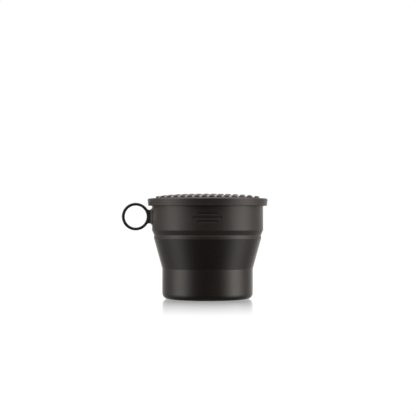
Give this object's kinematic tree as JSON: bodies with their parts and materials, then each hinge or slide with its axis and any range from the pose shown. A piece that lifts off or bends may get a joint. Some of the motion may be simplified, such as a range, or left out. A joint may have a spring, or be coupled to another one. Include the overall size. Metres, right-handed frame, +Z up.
{
  "type": "collapsible travel cup",
  "caption": "Round soft-walled cup that folds down into its own mouth band, with a side hanging ring and a press-on ribbed lid.",
  "frame": {"origin": "middle of the underside of the base, on the surface that the cup stands on", "axes": "+Z up out of the cup's mouth, -X towards the hanging ring, -Y towards the front with the plain pressed mark"},
  "size_m": [0.1181, 0.0972, 0.0849],
  "materials": {
    "body_soft": "fine satin silicone, near black with a slight warm tint",
    "rim_hard": "satin moulded plastic",
    "lid_hard": "satin moulded plastic",
    "pad_soft": "matte soft grip rubber",
    "seal_soft": "smooth dark grey silicone"
  },
  "bodies": {
    "base": {"base_cup": "body_soft", "fold_wall": "body_soft"},
    "collar": {"upper_band": "body_soft", "rim_ring": "rim_hard", "hang_ring": "body_soft"},
    "seal": {"lid_seal": "seal_soft"},
    "lid": {"lid_shell": "lid_hard", "lid_grip_pad": "pad_soft"}
  },
  "joints": [
    {"name": "collapse", "type": "slide", "parent": "base", "child": "collar", "axis": [0, 0, -1], "range_m": [0, 0.048], "deforming": ["fold_wall"]},
    {"name": "lid_lift", "type": "slide", "parent": "collar", "child": "seal", "axis": [0, 0, 1], "range_m": [0, 0.04]},
    {"name": "lid_turn", "type": "hinge", "parent": "seal", "child": "lid", "pos_m": [0, 0, 0.08], "axis": [0, 0, 1], "continuous": true}
  ]
}
